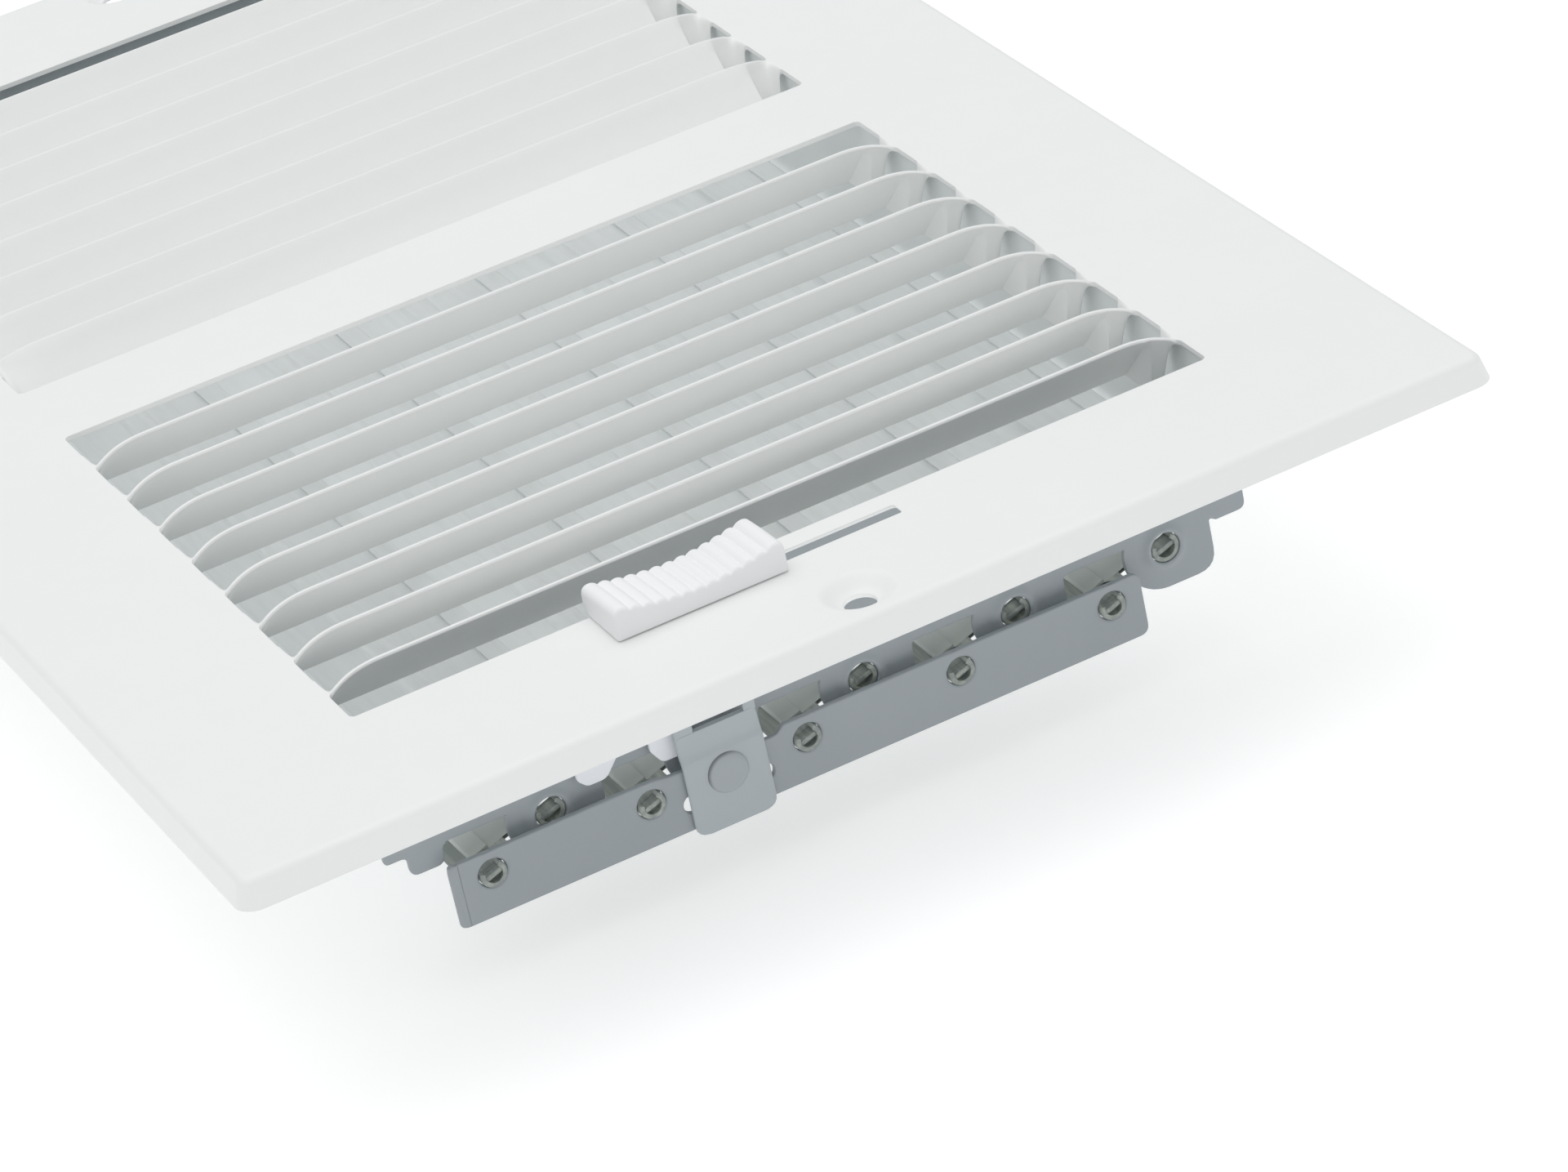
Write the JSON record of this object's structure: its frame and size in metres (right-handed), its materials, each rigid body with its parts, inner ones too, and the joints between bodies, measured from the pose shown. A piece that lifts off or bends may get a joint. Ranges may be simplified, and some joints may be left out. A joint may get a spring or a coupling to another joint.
{
  "type": "louvred air grille",
  "caption": "Stamped steel ceiling or sidewall air register with two opposed banks of louvres, a pivoting multi-blade damper behind them and a thumb slider that opens and closes it.",
  "frame": {"origin": "centre of the opening, in the plane where the back edge of the face's rim meets the wall or ceiling", "axes": "+Z out of the wall towards the room, X along the louvres, Y along the long side of the face; the thumb slider is at the -Y end"},
  "size_m": [0.1968, 0.2984, 0.0426],
  "materials": {
    "painted_face": "satin white powder coat",
    "coated_sheet": "thin satin white coat over steel sheet",
    "damper_sheet": "thin satin coat over rolled steel sheet",
    "rivet_steel": "coated steel",
    "slider_plastic": "moulded white plastic",
    "retainer_sheet": "satin white coat"
  },
  "bodies": {
    "frame": {"face_plate": "painted_face", "front_end_plate": "coated_sheet", "rear_end_plate": "coated_sheet", "left_side_rail": "coated_sheet", "right_side_rail": "coated_sheet", "frame_rivets": "rivet_steel"},
    "blade_1": {"damper_blade_1": "damper_sheet"},
    "blade_2": {"damper_blade_2": "damper_sheet"},
    "blade_3": {"damper_blade_3": "damper_sheet"},
    "blade_4": {"damper_blade_4": "damper_sheet"},
    "blade_5": {"damper_blade_5": "damper_sheet"},
    "linkage": {"link_bar": "coated_sheet", "operating_strap": "coated_sheet", "strap_rivet": "rivet_steel"},
    "slider": {"thumb_slider": "slider_plastic", "slider_retainer": "retainer_sheet"}
  },
  "joints": [
    {"name": "blade_3_pivot", "type": "hinge", "parent": "frame", "child": "blade_3", "pos_m": [0.0056, 0, -0.0209], "axis": [0, -1, 0], "range_deg": [-14, 71]},
    {"name": "blade_1_pivot", "type": "hinge", "parent": "frame", "child": "blade_1", "pos_m": [-0.0444, 0, -0.0209], "axis": [0, -1, 0], "range_deg": [-14, 71]},
    {"name": "blade_2_pivot", "type": "hinge", "parent": "frame", "child": "blade_2", "pos_m": [-0.0194, 0, -0.0209], "axis": [0, -1, 0], "range_deg": [-14, 71]},
    {"name": "blade_4_pivot", "type": "hinge", "parent": "frame", "child": "blade_4", "pos_m": [0.0306, 0, -0.0209], "axis": [0, -1, 0], "range_deg": [-14, 71]},
    {"name": "blade_5_pivot", "type": "hinge", "parent": "frame", "child": "blade_5", "pos_m": [0.0556, 0, -0.0209], "axis": [0, -1, 0], "range_deg": [-14, 71]},
    {"name": "crank_pivot", "type": "hinge", "parent": "blade_3", "child": "linkage", "pos_m": [-0.00556, -0.1235, -0.02474], "axis": [0, -1, 0], "range_deg": [-71, 14]},
    {"name": "slider_travel", "type": "slide", "parent": "frame", "child": "slider", "axis": [1, 0, 0], "range_m": [-0.0026, 0.0128]}
  ],
  "couplings": [
    {"joint": "blade_1_pivot", "follows": "blade_3_pivot", "ratio": 1},
    {"joint": "blade_2_pivot", "follows": "blade_3_pivot", "ratio": 1},
    {"joint": "blade_4_pivot", "follows": "blade_3_pivot", "ratio": 1},
    {"joint": "blade_5_pivot", "follows": "blade_3_pivot", "ratio": 1},
    {"joint": "crank_pivot", "follows": "blade_3_pivot", "ratio": -1},
    {"joint": "slider_travel", "follows": "blade_3_pivot", "m_per_rad": 0.0102}
  ]
}
